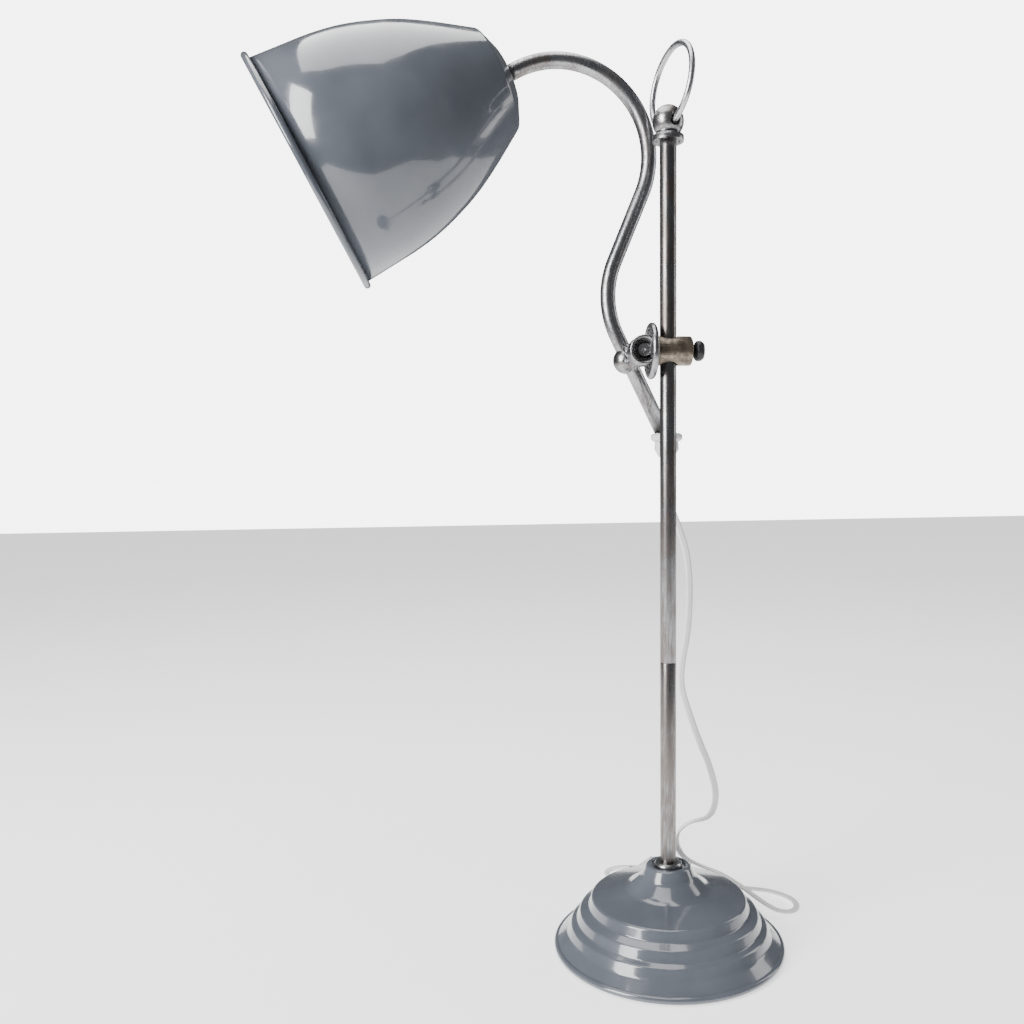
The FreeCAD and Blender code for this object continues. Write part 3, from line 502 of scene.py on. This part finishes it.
donut(bm, shade["beadMid"], shade["bead"], shade["beadLevel"], 192)
finished("ShadeRim", bm, "shadeEnamel", ["shade_shell"], place=shadePlace)

# lampholder and bulb

print("bulb")
holder = {"holder_cap": "dark", "holder_skirt": "dark", "holder_core": "porcelain", "bulb_cap": "rolled"}
for node, finish in holder.items():
    copied(node, finish, 30)
bulb = {"neckIn": 69.0, "wall": 0.7}
neck = long - bulb["neckIn"]
bm = lathe([(11.8, neck + 8), (11.8, neck - 6, 4, 6), (29.4, neck - 31, 9, 14), (32.6, neck - 77.5, 25.5, 24),
            (0, neck - 77.5)], 96, closed=False)
glass = finished("BulbGlass", bm, "glass", ["bulb_glass"], place=shadePlace)
wall = glass.modifiers.new("wall", "SOLIDIFY")
wall.thickness = bulb["wall"] * mm
wall.offset = -1

# gland

print("gland")
copied("arm_gland", "white", 35)
copied("strain_relief", "white", 35)

# Flex: one length of flat twin flex, hanging, laid along the table and wound into its hank.
print("flex")
flex = {"wide": 5.2, "thick": 3.0, "pitch": 3.1, "layers": 4, "inner": 2.7, "outer": 7.9, "length": 1.8}
glandLow, glandHigh = boxOf("strain_relief")
flexExit = Vector(((glandLow.x + glandHigh.x) / 2, (glandLow.y + glandHigh.y) / 2, glandLow.z))
hank = {"middle": (20.7, 97.6), "turn": -12, "long": 76.0, "lift": 0.6}
hankWay = Matrix.Rotation(math.radians(hank["turn"]), 3, "Z")
hankMiddle = Vector((*hank["middle"], 0)) * mm


def onHank(along, across, height):
    return tuple(hankMiddle + hankWay @ (Vector((along, across, 0)) * mm) + up * height * mm)


route = [tuple(flexExit + up * 8 * mm), tuple(flexExit - up * 9 * mm)]
route += [tuple(c * mm for c in p) for p in (
    (8.4, 30.6, 336), (15.4, 29.8, 318.5), (21.7, 28.6, 297), (23.2, 27.4, 268), (21.2, 26.6, 238),
    (16.4, 26.2, 214), (15.6, 26.4, 196), (21.8, 26.8, 176), (30.0, 27.4, 153), (40.6, 28.2, 128),
    (46.0, 29.2, 104.5), (40.8, 30.6, 87.0), (25.5, 32.4, 84.6), (15.4, 35.0, 76.5), (15.8, 42.0, 63.0),
    (20.0, 56.0, 53.0), (27.5, 66.7, 40.0), (42.5, 69.0, 31.0), (58.0, 61.0, 27.0), (72.5, 47.5, 20.5),
    (87.0, 35.5, 11.2), (98.0, 30.5, 5.6), (111.0, 33.5, 3.0), (119.0, 44.5, 2.8), (118.5, 58.5, 2.8),
    (109.5, 71.0, 2.8), (96.0, 79.8, 2.6))]
level = hank["lift"] + flex["thick"] / 2
route.append(onHank(hank["long"] / 2 + 12, 0.5, level))
for loop in range(flex["layers"] * 2):
    # the inner loops are wound upwards, and the outer ones back down round them
    outer = loop >= flex["layers"]
    layer = flex["layers"] * 2 - 1 - loop if outer else loop
    across = flex["outer"] if outer else flex["inner"]
    end = hank["long"] / 2 - flex["wide"] / 2 - (0 if outer else flex["wide"])
    ease = end - across * 1.7
    height = level + layer * flex["pitch"]
    route += [onHank(ease, across, height), onHank(0, across, height), onHank(-ease, across, height)]
    if layer or not outer:
        route += [onHank(-end, across, height), onHank(-end, -across, height), onHank(-ease, -across, height),
                  onHank(0, -across, height), onHank(ease, -across, height),
                  onHank(end, -across, height), onHank(end, across, height)]
route += [onHank(*p) for p in ((-42, 8.2, 2.1), (-53, 11.5, 2.4), (-56, 20.5, 3.6), (-46.5, 26.5, 5.6),
                               (-34, 24.2, 7.3), (-22, 24.0, 7.3))]


def wire(name, points):
    curve = bpy.data.curves.new(name, "CURVE")
    curve.dimensions = "3D"
    curve.resolution_u = 8
    spline = curve.splines.new("NURBS")
    spline.points.add(len(points) - 1)
    for place, point in zip(spline.points, points):
        place.co = (*point, 1)
    spline.order_u = 3
    spline.use_endpoint_u = True
    holder = bpy.data.objects.new(name, curve)
    bpy.context.scene.collection.objects.link(holder)
    bpy.context.view_layer.update()
    mesh = bpy.data.meshes.new_from_object(holder)
    line = []
    for v in mesh.vertices:
        if not line or (v.co - line[-1]).length > 0.05 * mm:
            line.append(v.co.copy())
    bpy.data.objects.remove(holder)
    bpy.data.meshes.remove(mesh)
    return line


def flatTwin(bm, line, wide, thick, first, sides=20):
    # a flat section carried along the line; on level stretches it settles onto its flat
    made = bmesh.ops.create_circle(bm, segments=sides, radius=0.5, cap_ends=False)
    ring = made["verts"]
    for v in ring:
        dip = 1 - 0.28 * math.exp(-(v.co.x / 0.1) ** 2)   # the groove between the two cores
        v.co.x *= wide
        v.co.y *= thick * dip
    edges = list({e for v in ring for e in v.link_edges})
    start = edges[:]
    side = Vector(first)
    before = None
    for i, here in enumerate(line):
        way = (line[min(i + 1, len(line) - 1)] - line[max(i - 1, 0)]).normalized()
        side = (side - way * side.dot(way)).normalized()
        flat = way.cross(up)
        if flat.length > 0.6:
            flat = flat.normalized()
            if flat.dot(side) < 0:
                flat = -flat
            side = side.slerp(flat, 0.12).normalized() if abs(flat.dot(side)) < 0.9999 else flat
        normal = way.cross(side)
        now = Matrix((side, normal, way)).transposed().to_4x4()
        now.translation = here
        if before is None:
            bmesh.ops.transform(bm, verts=ring, matrix=now)
        else:
            drawn = bmesh.ops.extrude_edge_only(bm, edges=edges)
            ring = [g for g in drawn["geom"] if isinstance(g, bmesh.types.BMVert)]
            fresh = set(ring)
            edges = [g for g in drawn["geom"] if isinstance(g, bmesh.types.BMEdge)
                     and all(v in fresh for v in g.verts)]
            bmesh.ops.transform(bm, verts=ring, matrix=now @ before.inverted())
        before = now
    bmesh.ops.contextual_create(bm, geom=start)
    bmesh.ops.contextual_create(bm, geom=edges)
    bmesh.ops.recalc_face_normals(bm, faces=bm.faces[:])


flexLine = wire("flexLine", route)
bm = bmesh.new()
flatTwin(bm, flexLine, flex["wide"] * mm, flex["thick"] * mm, (1, 0, 0))
flexPiece = finished("Flex", bm, "sheath", ["flex_lead", "flex_hank"], sharp=60)
copied("hank_tie", "dark", 30)

# Plug: the CAD shapes as they are.
print("plug")
copied("plug_body", "white", 30)
copied("plug_pins", "brass", 30)

# Small fittings that stay as the CAD made them, in their own finishes.
print("fittings")
plain = {"base_pad": "felt", "base_plate": "plated", "base_weight": "iron", "tail_washer": "plated",
         "tail_nut": "plated", "foot_stud": "plated", "joint_stud": "plated", "clamp_sleeve": "plated",
         "pivot_spacer": "plated", "inner_flex": "sheath", "shade_nipple": "plated", "shade_washer": "plated",
         "shade_nut": "plated", "switch_bar": "dark", "centre_contact": "brass"}
for node, finish in plain.items():
    copied(node, finish, 30)

# Studio: pale floor, a tall window of light at the left front, and soft fill.
print("studio")
studio = {"halfWide": 4.5, "halfDeep": 3.4, "narrow": 0.2, "back": 2.6, "white": (0.93, 0.93, 0.93)}
bm = bmesh.new()
# The table narrows towards the viewer, so that bright paper isn't mirrored all over the metal.
bmesh.ops.create_grid(bm, x_segments=1, y_segments=1, size=1)
bmesh.ops.scale(bm, vec=(studio["halfWide"], studio["halfDeep"], 1), verts=bm.verts[:])
bmesh.ops.scale(bm, vec=(studio["narrow"], 1, 1), verts=[v for v in bm.verts if v.co.y < 0])
bmesh.ops.translate(bm, verts=bm.verts[:], vec=(0, studio["back"], -0.0002))
mesh = bpy.data.meshes.new("Floor")
bm.to_mesh(mesh)
bm.free()
floor = bpy.data.objects.new("Floor", mesh)
bpy.context.scene.collection.objects.link(floor)
paper = Finish("floorPaper", Roughness=0.9, Specular_IOR_Level=0.1, Emission_Strength=1.2)
paper.set(**{"Emission Color": (1, 1, 1)})
grain = paper.noise(30, 2, 0.5)
paper.set(**{"Base Color": paper.mix(grain, studio["white"], (0.9, 0.9, 0.9))})
floor.data.materials.append(paper.material)


def panel(name, place, target, wide, tall, power, colour=(1, 1, 1)):
    lamp = bpy.data.lights.new(name, "AREA")
    lamp.shape = "RECTANGLE"
    lamp.size = wide
    lamp.size_y = tall
    lamp.energy = power
    lamp.color = colour
    holder = bpy.data.objects.new(name, lamp)
    bpy.context.scene.collection.objects.link(holder)
    holder.location = place
    holder.rotation_euler = (Vector(target) - Vector(place)).to_track_quat("-Z", "Y").to_euler()
    return holder


panel("window", (-1.6, -0.95, 0.95), (0, 0, 0.33), 0.8, 1.4, 74)
panel("rightFill", (1.7, 0.3, 0.8), (0, 0, 0.3), 0.5, 1.2, 7)
panel("overhead", (-0.3, 0.1, 1.9), (0, 0, 0.3), 1.5, 1.2, 30)

world = bpy.data.worlds.new("studioWorld")
bpy.context.scene.world = world
world.use_nodes = True
sky = world.node_tree
sky.nodes.clear()
worldOut = sky.nodes.new("ShaderNodeOutputWorld")
blendIn = sky.nodes.new("ShaderNodeMixShader")
rays = sky.nodes.new("ShaderNodeLightPath")
room = sky.nodes.new("ShaderNodeBackground")
backdrop = sky.nodes.new("ShaderNodeBackground")
room.inputs[0].default_value = (0.42, 0.44, 0.47, 1)
room.inputs[1].default_value = 0.3
backdrop.inputs[0].default_value = (1, 1, 1, 1)
backdrop.inputs[1].default_value = 6.0
sky.links.new(rays.outputs["Is Camera Ray"], blendIn.inputs[0])
sky.links.new(room.outputs[0], blendIn.inputs[1])
sky.links.new(backdrop.outputs[0], blendIn.inputs[2])
sky.links.new(blendIn.outputs[0], worldOut.inputs[0])

# Camera: a little above the table, looking slightly down, with a trace of roll.
view = {"place": (-0.14788, -0.6885, 0.36342), "turn": -5.4, "dip": 6.09, "roll": -0.722, "lens": 33.38,
        "shift": (-0.0438, 0.060)}
camera = bpy.data.cameras.new("Camera")
camera.lens = view["lens"]
camera.sensor_width = 36
camera.shift_x, camera.shift_y = view["shift"]
camera.clip_start = 0.02
eye = bpy.data.objects.new("Camera", camera)
bpy.context.scene.collection.objects.link(eye)
dip = math.radians(view["dip"])
roll = math.radians(view["roll"])
forward = Vector((0, math.cos(dip), -math.sin(dip)))
viewUp = Vector((0, math.sin(dip), math.cos(dip)))
viewRight = Vector((1, 0, 0))
rolledRight = viewRight * math.cos(roll) + viewUp * math.sin(roll)
rolledUp = viewUp * math.cos(roll) - viewRight * math.sin(roll)
turnView = Matrix.Rotation(math.radians(view["turn"]), 3, "Z")
axes = Matrix((turnView @ rolledRight, turnView @ rolledUp, turnView @ -forward)).transposed().to_4x4()
axes.translation = view["place"]
eye.matrix_world = axes
bpy.context.scene.camera = eye
